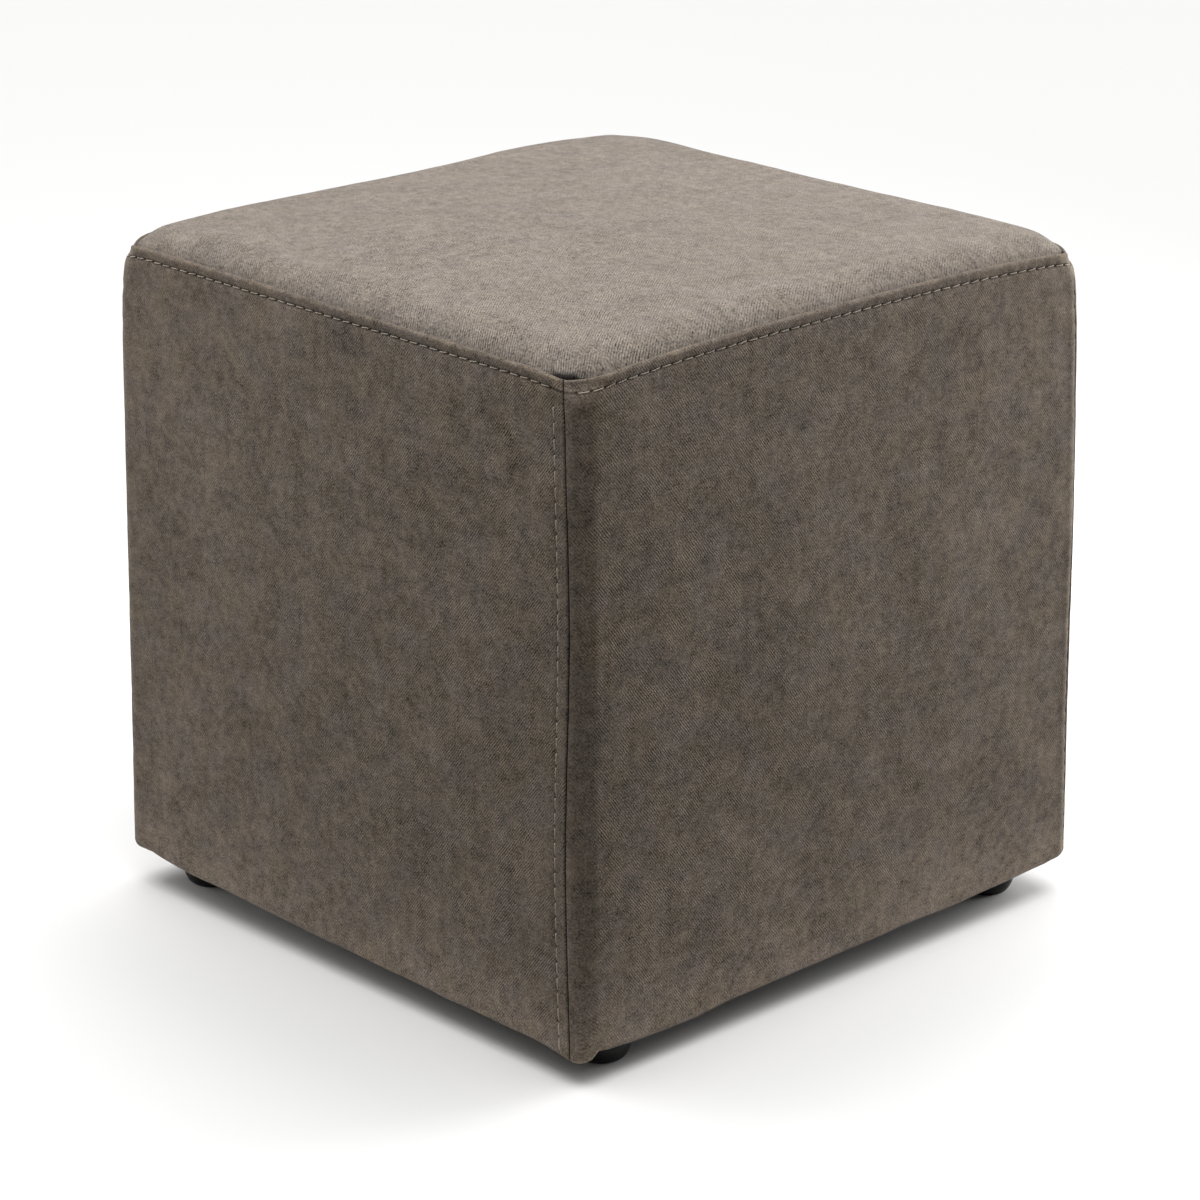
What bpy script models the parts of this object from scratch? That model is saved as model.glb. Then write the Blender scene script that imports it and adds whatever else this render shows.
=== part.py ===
# Cube pouf stool: a padded top panel and four padded side panels, sewn edge to edge, over a plain
# base panel that stands on four round glides.
# Metres, +Z up. The origin is on the floor, under the middle. The front panel faces -Y and the
# right panel +X.

from collections import namedtuple
from math import cos, hypot, pi, sin, sqrt

import bmesh
import bpy
from mathutils import Vector

# Overall sizes
HALF_WIDTH = 0.1993  # from the middle to the flat of the left and right panels, at the seam
HALF_DEPTH = 0.2000  # from the middle to the flat of the front and back panels, at the seam
FLARE = 0.0038  # how much further out the panels stand at the hem
HEM_HEIGHT = 0.0190  # the cloth's lower edge above the floor
SEAM_HEIGHT = 0.4020  # the crest of the fold around the top, before its rise and lift
GAP = 0.0003  # between neighbouring pieces

# Side panels
PANEL_THICKNESS = 0.0160  # cloth and the padding behind it
PARTING_DROP = 0.0130  # how far the inner wall ends below the fold's crest
INNER_EVENNESS = 0.10  # share of the inner wall's height in which its rows are evenly spaced
FULLNESS = 0.0020  # how far the middle of a side swells
SEAM_WANDER = 0.0015  # how far the corner seams stray sideways
WANDER_LENGTH = 0.27  # height of one whole stray, there and back
WANDER_START = 0.1975  # height where the stray passes through nothing
STRIP_TOP_DROP = 0.0120  # the stitched strip beside a corner seam ends this far below the crest

# Top panel
CROWN_ROLL = 0.0106  # rise of the rounding along the edges
CROWN_ROLL_WIDTH = 0.0218
CROWN_ROLL_POWER = 2.07
CROWN_FOOT_WIDTH = 0.0040  # width in which the crown rises from its seam at the corners
CROWN_DOME = 0.0051  # further rise towards the middle
RIM_GAP = 0.0005  # between the top panel's rim and the fold
UNDERSIDE_SET_IN = 0.0180

# Base panel and glides
BASE_THICKNESS = 0.0120
BASE_EDGE_RADIUS = 0.0010
GLIDE_STEPS = 24

CLOTH_COLOUR = (0.235, 0.205, 0.178, 1.0)
BASE_COLOUR = (0.020, 0.020, 0.021, 1.0)
GLIDE_COLOUR = (0.008, 0.008, 0.009, 1.0)

RIGHTWARD = Vector((1, 0, 0))
BACKWARD = Vector((0, 1, 0))
UPWARD = Vector((0, 0, 1))

# A side runs along one wall, from left to right as seen from outside. rise is how far the fold arches
# up between its corners. The rest is for the corner on the side's right: how far the fold lifts there,
# how far it is drawn down at the corner seam, how far the hem lifts there, and how far past the
# corner's middle the seam lies.
Side = namedtuple("Side", "name along outward half_length half_depth rise lift dip hem_lift shift")
SIDES = (
    Side("front", RIGHTWARD, -BACKWARD, HALF_WIDTH, HALF_DEPTH, 0.0003, 0.0008, 0.0022, -0.0033, -0.0087),
    Side("right", BACKWARD, RIGHTWARD, HALF_DEPTH, HALF_WIDTH, 0.0059, -0.0008, 0.0026, 0.0005, 0.0040),
    Side("back", -RIGHTWARD, BACKWARD, HALF_WIDTH, HALF_DEPTH, 0.0022, -0.0038, 0.0024, 0.0000, -0.0030),
    Side("left", -BACKWARD, -RIGHTWARD, HALF_DEPTH, HALF_WIDTH, 0.0003, 0.0017, 0.0050, 0.0005, -0.0035),
)
RISE_POWER = 3
CORNER_REACH = 0.964  # share of the half length at which a corner's middle lies
DIP_WIDTH = 0.0290  # from the corner seam to where the dip starts

# A row runs around the sides at one height: share of the way from the hem to the seam, plus offset.
# set_in is the depth inside the flared face, and corner is the radius at the corners.
Row = namedtuple("Row", "share offset set_in corner")
ROWS = (
    Row(0.00, 0.0000, 0.0045, 0.0110),  # turned under
    Row(0.00, 0.0010, 0.0015, 0.0120),
    Row(0.00, 0.0045, 0.0000, 0.0125),
    Row(0.14, 0.0000, 0.0000, 0.0125),
    Row(0.34, 0.0000, 0.0000, 0.0125),
    Row(0.56, 0.0000, 0.0000, 0.0125),
    Row(0.78, 0.0000, 0.0000, 0.0125),
    Row(1.00, -0.0260, 0.0000, 0.0128),
    Row(1.00, -0.0150, 0.0000, 0.0148),
    Row(1.00, -0.0085, 0.0001, 0.0171),
    Row(1.00, -0.0066, 0.0006, 0.0182),  # drawn in by the topstitching
    Row(1.00, -0.0052, -0.0002, 0.0210),  # foot of the turned-down fold
    Row(1.00, -0.0025, -0.0004, 0.0239),
    Row(1.00, -0.0008, 0.0001, 0.0241),
    Row(1.00, 0.0000, 0.0016, 0.0217),  # crest
    Row(1.00, -0.0012, 0.0030, 0.0192),  # seam with the top panel
)
CREST_ROW = ROWS[-2]
SEAM_ROW = ROWS[-1]

# Columns of a side panel, by their distance from its end seams. relief is the height of the stitched
# strip beside the right-hand seam.
Step = namedtuple("Step", "distance relief")
END_STEPS = (
    Step(0.0000, 0.0000),
    Step(0.0025, 0.0005),
    Step(0.0050, 0.0006),
    Step(0.0068, 0.0005),
    Step(0.0078, -0.0006),  # drawn in by the topstitching
    Step(0.0088, 0.0000),
    Step(0.0145, 0.0000),
    Step(0.0190, 0.0000),
    Step(0.0450, 0.0000),
)
MIDDLE_STEPS = (-0.105, -0.070, -0.035, 0.0, 0.035, 0.070, 0.105)

# Lines of the top panel's grid, by their distance from its rim, and then from its middle.
RIM_STEPS = (0.0, 0.0010, 0.0024, 0.0042, 0.0075, 0.0115, 0.0160, 0.0218, 0.0340)
GRID_STEPS = (0.120, 0.080, 0.040)

Glide = namedtuple("Glide", "name x y")
GLIDES = (
    Glide("front", 0.1736, -0.1625),
    Glide("right", 0.1661, 0.1668),
    Glide("back", -0.1661, 0.1668),
    Glide("left", -0.1661, -0.1668),
)
# A glide's turned profile from its seat down to its sole.
Turn = namedtuple("Turn", "radius height")
GLIDE_PROFILE = (
    Turn(0.0000, HEM_HEIGHT - GAP),
    Turn(0.0105, HEM_HEIGHT - GAP),
    Turn(0.0105, 0.0152),
    Turn(0.0173, 0.0152),
    Turn(0.0180, 0.0145),
    Turn(0.0180, 0.0105),
    Turn(0.0173, 0.0062),
    Turn(0.0160, 0.0029),
    Turn(0.0144, 0.0008),
    Turn(0.0127, 0.0000),
    Turn(0.0000, 0.0000),
)


def clear_scene():
    for leftover in list(bpy.data.objects):
        bpy.data.objects.remove(leftover, do_unlink=True)


def make_collection(name):
    collection = bpy.data.collections.new(name)
    bpy.context.scene.collection.children.link(collection)
    return collection


def make_material(name, colour, roughness):
    material = bpy.data.materials.new(name)
    material.use_nodes = True
    shader = material.node_tree.nodes["Principled BSDF"]
    shader.inputs["Base Color"].default_value = colour
    shader.inputs["Roughness"].default_value = roughness
    shader.inputs["Metallic"].default_value = 0.0
    material.diffuse_color = colour
    return material


def add_object(name, mesh, material, collection):
    mesh.materials.append(material)
    piece = bpy.data.objects.new(name, mesh)
    collection.objects.link(piece)
    return piece


def cut_block(columns, lines, layers):
    """A block of columns by lines by layers cells, one unit each, with a vertex at every crossing."""
    block = bmesh.new()
    bmesh.ops.create_cube(block, size=1.0)
    for vertex in block.verts:
        vertex.co = (
            (vertex.co.x + 0.5) * columns,
            (vertex.co.y + 0.5) * lines,
            (vertex.co.z + 0.5) * layers,
        )
    for normal, count in ((RIGHTWARD, columns), (BACKWARD, lines), (UPWARD, layers)):
        for cell in range(1, count):
            everything = block.verts[:] + block.edges[:] + block.faces[:]
            bmesh.ops.bisect_plane(block, geom=everything, plane_co=normal * cell, plane_no=normal)
    return block


def shape_block(name, block, place):
    """Moves each crossing of the block to place(column, line, layer) and makes a mesh of it."""
    for vertex in block.verts:
        vertex.co = place(round(vertex.co.x), round(vertex.co.y), round(vertex.co.z))
    mesh = bpy.data.meshes.new(name)
    block.to_mesh(mesh)
    block.free()
    mesh.shade_smooth()
    mesh.set_sharp_from_angle(angle=pi / 4)
    return mesh


def corner_blend(x, y, front, right, back, left):
    """One value for each corner, blended over the places between them."""
    across = (1.0 + x / HALF_WIDTH) / 2.0
    deep = (1.0 + y / HALF_DEPTH) / 2.0
    near = left * (1.0 - across) + front * across
    far = back * (1.0 - across) + right * across
    return near * (1.0 - deep) + far * deep


def corner_lift(x, y):
    return corner_blend(x, y, *(side.lift for side in SIDES))


def hem_lift(x, y):
    return corner_blend(x, y, *(side.hem_lift for side in SIDES))


def seam_shift(side, height):
    """Where the seam at the side's right end lies, past the middle of the corner."""
    return side.shift + SEAM_WANDER * sin(2.0 * pi * (height - WANDER_START) / WANDER_LENGTH)


def ring_place(side, distance, set_in, corner):
    """The place on a ring around the sides, at a distance from the middle of one side."""
    straight = side.half_length - set_in - corner
    depth = side.half_depth - set_in
    turn = max(0.0, abs(distance) - straight) / corner
    run = min(abs(distance), straight) + corner * sin(turn)
    along = run if distance > 0 else -run
    outward = depth - corner * (1.0 - cos(turn))
    return side.along * along + side.outward * outward


def ring_normal(side, distance, set_in, corner):
    straight = side.half_length - set_in - corner
    turn = max(0.0, abs(distance) - straight) / corner
    lean = sin(turn) if distance > 0 else -sin(turn)
    return side.along * lean + side.outward * cos(turn)


def corner_seam(side):
    """Where the seam at the side's right end meets the fold's crest, in plan."""
    distance = side.half_length - CREST_ROW.set_in - CREST_ROW.corner * (1.0 - pi / 4.0)
    return ring_place(side, distance + side.shift, CREST_ROW.set_in, CREST_ROW.corner)


def seam_rise(x, y):
    """How far the fold around the top arches up along its sides, less its dips at the corner seams."""
    place = Vector((x, y, 0.0))
    rise = 0.0
    for side in SIDES:
        along = abs(place.dot(side.along)) / side.half_length
        nearness = (1.0 + place.dot(side.outward) / side.half_depth) / 2.0
        arch = 1.0 - min(1.0, along / CORNER_REACH) ** RISE_POWER
        rise += side.rise * arch * nearness**RISE_POWER
        away = (place - corner_seam(side)).length
        rise -= side.dip * max(0.0, 1.0 - away / DIP_WIDTH) ** 2
    return rise


def side_columns(start, end):
    """(distance from the middle, relief) of each column between the panel's two end seams."""
    columns = [(start + step.distance, 0.0) for step in END_STEPS]
    columns += [(distance, 0.0) for distance in MIDDLE_STEPS]
    columns += [(end - step.distance, step.relief) for step in reversed(END_STEPS)]
    return columns


def make_side_panel(index, material, collection):
    side = SIDES[index]
    before = SIDES[index - 1]
    column_count = 2 * len(END_STEPS) + len(MIDDLE_STEPS)
    row_count = len(ROWS)
    inner_top = SEAM_HEIGHT - PARTING_DROP

    def place(column, line, layer):
        row = ROWS[layer]
        level = HEM_HEIGHT + row.share * (SEAM_HEIGHT - HEM_HEIGHT) + row.offset
        height_share = (level - HEM_HEIGHT) / (SEAM_HEIGHT - HEM_HEIGHT)
        set_in = row.set_in - FLARE * (1.0 - height_share)
        reach = side.half_length - set_in - row.corner + row.corner * pi / 4.0
        start_shift = seam_shift(before, level) + GAP / 2.0
        end_shift = seam_shift(side, level) - GAP / 2.0
        start = start_shift - reach
        end = end_shift + reach
        distance, relief = side_columns(start, end)[column]
        if line == 1:
            across = (distance - start) / (end - start)
            half = side.half_length - PANEL_THICKNESS
            run = (start_shift - half) * (1.0 - across) + (end_shift + half) * across
            climb = height_share * (1.0 - INNER_EVENNESS) + INNER_EVENNESS * layer / (row_count - 1)
            inner = side.along * run + side.outward * (side.half_depth - PANEL_THICKNESS)
            inner.z = HEM_HEIGHT + (inner_top - HEM_HEIGHT) * climb
            return inner
        point = ring_place(side, distance, set_in, row.corner)
        swell = FULLNESS * sin(pi * height_share) * max(0.0, 1.0 - (distance / reach) ** 2)
        if level > SEAM_HEIGHT - STRIP_TOP_DROP:
            relief = 0.0
        point += ring_normal(side, distance, set_in, row.corner) * (swell + relief)
        seam_lift = corner_lift(point.x, point.y) + seam_rise(point.x, point.y)
        point.z = level + seam_lift * row.share + hem_lift(point.x, point.y) * (1.0 - row.share)
        return point

    name = "side_panel_" + side.name
    mesh = shape_block(name, cut_block(column_count - 1, 1, row_count - 1), place)
    return add_object(name, mesh, material, collection)


def corner_distance(x, y, half_x, half_y, corner):
    """How far a place lies inside a rectangle with rounded corners."""
    past_x = abs(x) - (half_x - corner)
    past_y = abs(y) - (half_y - corner)
    outside = hypot(max(past_x, 0.0), max(past_y, 0.0))
    return corner - outside - min(max(past_x, past_y), 0.0)


def crown_roll(distance):
    """Share of the crown's rounding that is reached at a distance from one edge."""
    return 1.0 - (1.0 - min(1.0, distance / CROWN_ROLL_WIDTH)) ** CROWN_ROLL_POWER


def crown_height(x, y, half_x, half_y, corner):
    """Height of the top panel's surface over a place inside its rim."""
    edge = max(0.0, corner_distance(x, y, half_x, half_y, corner))
    foot = 1.0 - (1.0 - min(1.0, edge / CROWN_FOOT_WIDTH)) ** 2
    roll = CROWN_ROLL * crown_roll(half_x - abs(x)) * crown_roll(half_y - abs(y)) * foot
    dome = CROWN_DOME * (1.0 - (x / half_x) ** 2) * (1.0 - (y / half_y) ** 2)
    return SEAM_HEIGHT + SEAM_ROW.offset + corner_lift(x, y) + seam_rise(x, y) + roll + dome


def grid_lines(half):
    """Lines of the top panel's grid from its middle out to its rim."""
    outer = [half - step for step in RIM_STEPS]
    positive = outer + list(GRID_STEPS)
    return [-value for value in positive] + [0.0] + positive[::-1]


def round_corner(x, y, half_x, half_y, corner):
    """Draws the square corners of a grid in to a rounded rectangle."""
    across = max(0.0, (abs(x) - (half_x - corner)) / corner)
    deep = max(0.0, (abs(y) - (half_y - corner)) / corner)
    if across == 0.0 or deep == 0.0:
        return x, y
    new_x = half_x - corner + corner * across * sqrt(1.0 - deep * deep / 2.0)
    new_y = half_y - corner + corner * deep * sqrt(1.0 - across * across / 2.0)
    return (new_x if x > 0 else -new_x), (new_y if y > 0 else -new_y)


def make_top_panel(material, collection):
    rim_x = HALF_WIDTH - SEAM_ROW.set_in - RIM_GAP
    rim_y = HALF_DEPTH - SEAM_ROW.set_in - RIM_GAP
    corner = SEAM_ROW.corner - RIM_GAP
    columns = grid_lines(rim_x)
    lines = grid_lines(rim_y)
    under_x = (HALF_WIDTH - UNDERSIDE_SET_IN) / rim_x
    under_y = (HALF_DEPTH - UNDERSIDE_SET_IN) / rim_y

    def place(column, line, layer):
        x = columns[column]
        y = lines[line]
        if layer == 0:
            return Vector((x * under_x, y * under_y, SEAM_HEIGHT - PARTING_DROP))
        x, y = round_corner(x, y, rim_x, rim_y, corner)
        return Vector((x, y, crown_height(x, y, rim_x, rim_y, corner)))

    mesh = shape_block("top_panel", cut_block(len(columns) - 1, len(lines) - 1, 1), place)
    return add_object("top_panel", mesh, material, collection)


def make_base_panel(material, collection):
    block = bmesh.new()
    bmesh.ops.create_cube(block, size=1.0)
    width = 2.0 * (HALF_WIDTH - PANEL_THICKNESS - GAP)
    depth = 2.0 * (HALF_DEPTH - PANEL_THICKNESS - GAP)
    for vertex in block.verts:
        vertex.co = (vertex.co.x * width, vertex.co.y * depth, vertex.co.z * BASE_THICKNESS)
    mesh = bpy.data.meshes.new("base_panel")
    block.to_mesh(mesh)
    block.free()
    panel = add_object("base_panel", mesh, material, collection)
    panel.location = (0.0, 0.0, HEM_HEIGHT + BASE_THICKNESS / 2.0)
    bevel = panel.modifiers.new("edge", "BEVEL")
    bevel.width = BASE_EDGE_RADIUS
    bevel.segments = 2
    return panel


def make_glide(glide, material, collection):
    name = "glide_" + glide.name
    profile = bmesh.new()
    corners = [profile.verts.new((turn.radius, 0.0, turn.height)) for turn in GLIDE_PROFILE]
    for upper, lower in zip(corners, corners[1:]):
        profile.edges.new((upper, lower))
    mesh = bpy.data.meshes.new(name)
    profile.to_mesh(mesh)
    profile.free()
    piece = add_object(name, mesh, material, collection)
    piece.location = (glide.x, glide.y, 0.0)
    turn = piece.modifiers.new("turned", "SCREW")
    turn.axis = "Z"
    turn.steps = GLIDE_STEPS
    turn.render_steps = GLIDE_STEPS
    turn.use_merge_vertices = True
    turn.merge_threshold = 0.0001
    turn.use_smooth_shade = True
    return piece


def build():
    clear_scene()
    pouf = make_collection("cube_pouf_stool")
    cloth = make_material("pouf_cloth", CLOTH_COLOUR, 0.92)
    backing = make_material("base_cloth", BASE_COLOUR, 0.95)
    plastic = make_material("glide_plastic", GLIDE_COLOUR, 0.35)
    make_top_panel(cloth, pouf)
    for index in range(len(SIDES)):
        make_side_panel(index, cloth, pouf)
    make_base_panel(backing, pouf)
    for glide in GLIDES:
        make_glide(glide, plastic, pouf)


build()
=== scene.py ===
# Cube pouf stool: five padded cloth panels with a folded and topstitched upper edge, on four glides.
import math

import bmesh
import bpy
import numpy as np
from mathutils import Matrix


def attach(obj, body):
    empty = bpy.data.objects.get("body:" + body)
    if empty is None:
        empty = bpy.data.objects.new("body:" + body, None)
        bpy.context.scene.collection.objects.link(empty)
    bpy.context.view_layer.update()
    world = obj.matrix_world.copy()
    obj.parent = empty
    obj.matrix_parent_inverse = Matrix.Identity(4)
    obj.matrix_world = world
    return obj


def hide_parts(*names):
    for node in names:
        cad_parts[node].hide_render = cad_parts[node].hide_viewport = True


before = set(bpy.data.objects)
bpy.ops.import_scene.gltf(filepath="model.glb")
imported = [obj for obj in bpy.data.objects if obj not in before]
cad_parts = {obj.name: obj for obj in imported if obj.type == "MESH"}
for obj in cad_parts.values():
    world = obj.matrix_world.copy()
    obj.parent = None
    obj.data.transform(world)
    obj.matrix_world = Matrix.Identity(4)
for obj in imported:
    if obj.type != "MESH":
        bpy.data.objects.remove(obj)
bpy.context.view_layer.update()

print("pouf: frame loaded")

mm = 0.001


class Nodes:
    # short calls for building one material's node tree
    def __init__(self, name):
        self.material = bpy.data.materials.new(name)
        self.material.use_nodes = True
        self.tree = self.material.node_tree
        self.shader = self.tree.nodes["Principled BSDF"]

    def put(self, socket, value):
        if isinstance(value, bpy.types.NodeSocket):
            self.tree.links.new(value, socket)
        else:
            socket.default_value = value

    def math(self, operation, *values):
        node = self.tree.nodes.new("ShaderNodeMath")
        node.operation = operation
        for socket, value in zip(node.inputs, values):
            self.put(socket, value)
        return node.outputs[0]

    def vector(self, operation, first, second=None, scale=None):
        node = self.tree.nodes.new("ShaderNodeVectorMath")
        node.operation = operation
        self.put(node.inputs[0], first)
        if second is not None:
            self.put(node.inputs[1], second)
        if scale is not None:
            self.put(node.inputs["Scale"], scale)
        return node.outputs["Value" if operation == "DOT_PRODUCT" else "Vector"]

    def stored(self, name, output="Fac"):
        node = self.tree.nodes.new("ShaderNodeAttribute")
        node.attribute_name = name
        return node.outputs[output]

    def objectPlace(self):
        return self.tree.nodes.new("ShaderNodeTexCoord").outputs["Object"]

    def noise(self, place, scale, detail, roughness):
        node = self.tree.nodes.new("ShaderNodeTexNoise")
        self.put(node.inputs["Vector"], place)
        node.inputs["Scale"].default_value = scale
        node.inputs["Detail"].default_value = detail
        node.inputs["Roughness"].default_value = roughness
        return node.outputs["Fac"]

    def uneven(self, place, scale, detail, roughness):
        # a noise around nought
        return self.math("SUBTRACT", self.noise(place, scale, detail, roughness), 0.5)

    def remap(self, value, low, high, newLow=0.0, newHigh=1.0, smooth=False):
        node = self.tree.nodes.new("ShaderNodeMapRange")
        node.interpolation_type = "SMOOTHSTEP" if smooth else "LINEAR"
        for socket, number in zip(node.inputs, (value, low, high, newLow, newHigh)):
            self.put(socket, number)
        return node.outputs[0]

    def mixColour(self, share, first, second):
        node = self.tree.nodes.new("ShaderNodeMix")
        node.data_type = "RGBA"
        self.put(node.inputs[0], share)
        self.put(node.inputs[6], (*first, 1.0))
        self.put(node.inputs[7], (*second, 1.0))
        return node.outputs[2]

    def toned(self, colour, tone):
        # one colour, made lighter and darker by tone
        node = self.tree.nodes.new("ShaderNodeRGB")
        node.outputs[0].default_value = (*colour, 1.0)
        return self.vector("SCALE", node.outputs[0], scale=tone)

    def bump(self, height, distance, normal=None):
        node = self.tree.nodes.new("ShaderNodeBump")
        node.inputs["Distance"].default_value = distance
        self.put(node.inputs["Height"], height)
        if normal is not None:
            self.put(node.inputs["Normal"], normal)
        return node.outputs["Normal"]

    def finish(self, **values):
        for name, value in values.items():
            self.put(self.shader.inputs[name.replace("_", " ")], value)
        return self.material


# Camera, floor and lights.
view = {
    "lens": 125.513,
    "sensor": 36.0,
    "place": (1.70880, -1.61285, 1.02323),
    "lookDown": 19.6651,
    "turn": 46.6235,
}
studio = {
    "floorSize": 60.0,
    "floorColour": (0.738, 0.736, 0.732),
    "floorRoughness": 0.85,
    "floorGloss": 0.2,
    "worldStrength": 0.085,
    "overheadStrength": 4.12,
    "overheadAngle": 74.0,
    "overheadTilt": -2.0,  # a little towards the left of the picture
    "overheadBack": 9.0,  # and away from the camera
    "rightStrength": 16.5,
    "leftStrength": 5.6,
    "rightBehind": 23.0,  # how far the softboxes are turned behind the pouf, in degrees
    "leftBehind": 10.0,
    "sideSize": (0.7, 0.9),
    "sideDistance": 1.15,
    "sideHeight": 0.48,
    "frontStrength": 6.6,
    "frontSize": 1.2,
    "frontDistance": 2.0,
    "frontUp": 50.0,
    "flagInner": 0.205,  # the black cards start just outside the pouf and fade in
    "flagFade": 0.085,
    "flagOuter": 8.0,
    "flagHeight": 0.004,
}


def setCamera():
    lens = bpy.data.cameras.new("view")
    lens.lens = view["lens"]
    lens.sensor_width = view["sensor"]
    camera = bpy.data.objects.new("view", lens)
    bpy.context.scene.collection.objects.link(camera)
    camera.location = view["place"]
    camera.rotation_euler = (math.radians(90.0 - view["lookDown"]), 0.0, math.radians(view["turn"]))
    bpy.context.scene.camera = camera


def addLight(name, kind, strength, place, turned):
    light = bpy.data.lights.new(name, kind)
    light.energy = strength
    light.cycles.use_multiple_importance_sampling = False  # so that the black cards don't shade the floor
    holder = bpy.data.objects.new(name, light)
    holder.location = place
    holder.rotation_euler = turned
    bpy.context.scene.collection.objects.link(holder)
    return light


def setLights():
    scene = bpy.context.scene
    scene.view_settings.view_transform = "Standard"
    world = bpy.data.worlds.new("studio")
    scene.world = world
    world.use_nodes = True
    background = world.node_tree.nodes["Background"]
    background.inputs["Color"].default_value = (1.0, 1.0, 1.0, 1.0)
    background.inputs["Strength"].default_value = studio["worldStrength"]
    turn = math.radians(view["turn"])
    turned = (-math.radians(studio["overheadBack"]), math.radians(studio["overheadTilt"]), turn)
    overhead = addLight("overhead", "SUN", studio["overheadStrength"], (0.0, 0.0, 0.0), turned)
    overhead.angle = math.radians(studio["overheadAngle"])
    for name, side in (("right", 1.0), ("left", -1.0)):
        facing = math.radians(view["turn"] + side * studio[name + "Behind"])
        away = side * studio["sideDistance"]
        place = (math.cos(facing) * away, math.sin(facing) * away, studio["sideHeight"])
        turned = (math.pi / 2.0, 0.0, facing + side * math.pi / 2.0)
        box = addLight(name + "Softbox", "AREA", studio[name + "Strength"], place, turned)
        box.shape = "RECTANGLE"
        box.size, box.size_y = studio["sideSize"]
    # a weak fill above the camera, so that the near corner isn't lost between the softboxes
    up = math.radians(studio["frontUp"])
    away = studio["frontDistance"] * math.cos(up)
    place = (math.sin(turn) * away, -math.cos(turn) * away, studio["frontDistance"] * math.sin(up))
    fill = addLight("frontFill", "AREA", studio["frontStrength"], place, (math.pi / 2.0 - up, 0.0, turn))
    fill.size = studio["frontSize"]


def makeFloorPaint():
    n = Nodes("floorPaint")
    return n.finish(
        Base_Color=(*studio["floorColour"], 1.0),
        Roughness=studio["floorRoughness"],
        Specular_IOR_Level=studio["floorGloss"],
    )


def makeCardBlack():
    # black, and clear towards the inner edge so that the edge leaves no line on the floor
    n = Nodes("cardBlack")
    split = n.tree.nodes.new("ShaderNodeSeparateXYZ")
    n.put(split.inputs[0], n.objectPlace())
    reach = n.math("MAXIMUM", *(n.math("ABSOLUTE", split.outputs[axis]) for axis in range(2)))
    fade = n.remap(reach, studio["flagInner"], studio["flagInner"] + studio["flagFade"], smooth=True)
    return n.finish(Base_Color=(0.0, 0.0, 0.0, 1.0), Specular_IOR_Level=0.0, Alpha=fade)


def addStagePiece(name, verts, faces, material):
    mesh = bpy.data.meshes.new(name)
    mesh.from_pydata(verts, [], faces)
    mesh.materials.append(material)
    piece = bpy.data.objects.new(name, mesh)
    bpy.context.scene.collection.objects.link(piece)
    return piece


def setFloor():
    corners = [(-1, -1), (1, -1), (1, 1), (-1, 1)]
    half = studio["floorSize"] / 2.0
    verts = [(x * half, y * half, 0.0) for x, y in corners]
    floor = addStagePiece("floor", verts, [(0, 1, 2, 3)], makeFloorPaint())
    # black cards around the pouf keep the far floor from lighting its sides; the camera doesn't see them
    sizes = (studio["flagInner"], studio["flagOuter"])
    verts = [(x * size, y * size, studio["flagHeight"]) for size in sizes for x, y in corners]
    faces = [(k, (k + 1) % 4, (k + 1) % 4 + 4, k + 4) for k in range(4)]
    flag = addStagePiece("blackCards", verts, faces, makeCardBlack())
    flag.visible_camera = False
    flag.visible_shadow = False


setCamera()
setLights()
setFloor()
print("pouf: camera, floor and lights")

# The cloth: a suede-like twill with a nap.
cloth = {
    "linesPerMetre": 733.0,  # twill lines, counted square to them
    "lineSlope": 0.763,
    "lineBump": 0.00012,
    "wobbleBend": 6.0,  # how much the noises bend the twill lines
    "jitterBend": 3.0,
    "patchRange": (0.38, 0.60, 0.15, 1.15),  # the weave shows more in some places
    "breakRange": (0.35, 0.62, 0.2, 1.6),
    "cornerWay": (0.7071, -0.7071, 0.0),  # towards the front corner, where the nap lies flatter
    "cornerRange": (-0.05, 0.24),
    "lineLeast": 0.28,
    "grainLeast": 0.74,
    "grainBump": 0.00016,
    "streakStretch": (1.0, 0.16, 1.0),
    "fleckStretch": (1.0, 0.45, 1.0),
    "fleckRange": (0.64, 0.76),
    "wrinkleStretch": (1.0, 0.55, 1.0),
    "wrinkleWidth": 0.026,
    "wrinkleRange": (0.46, 0.62),
    "hueRange": (0.36, 0.64),
    "paintedShadeDepth": 0.90,
    "roughness": 0.90,
    "gloss": 0.12,
    "sheen": 0.10,
    "sheenRoughness": 0.45,
    "sheenTint": (1.0, 0.95, 0.90, 1.0),
}
# Each noise in the cloth: waves a metre, detail and roughness.
clothNoises = {
    "wobble": (90.0, 2.0, 0.5),
    "jitter": (420.0, 1.0, 0.5),
    "patch": (60.0, 3.0, 0.6),
    "break": (520.0, 1.0, 0.5),
    "grain": (800.0, 1.0, 0.7),
    "mottle": (175.0, 1.0, 0.6),
    "blotch": (52.0, 2.0, 0.55),
    "broad": (15.0, 2.0, 0.5),
    "streak": (75.0, 3.0, 0.6),
    "fleck": (260.0, 2.0, 0.5),
    "bend": (62.0, 2.0, 0.5),
    "wrinkle": (48.0, 2.0, 0.5),
    "hue": (38.0, 3.0, 0.6),
}
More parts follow.
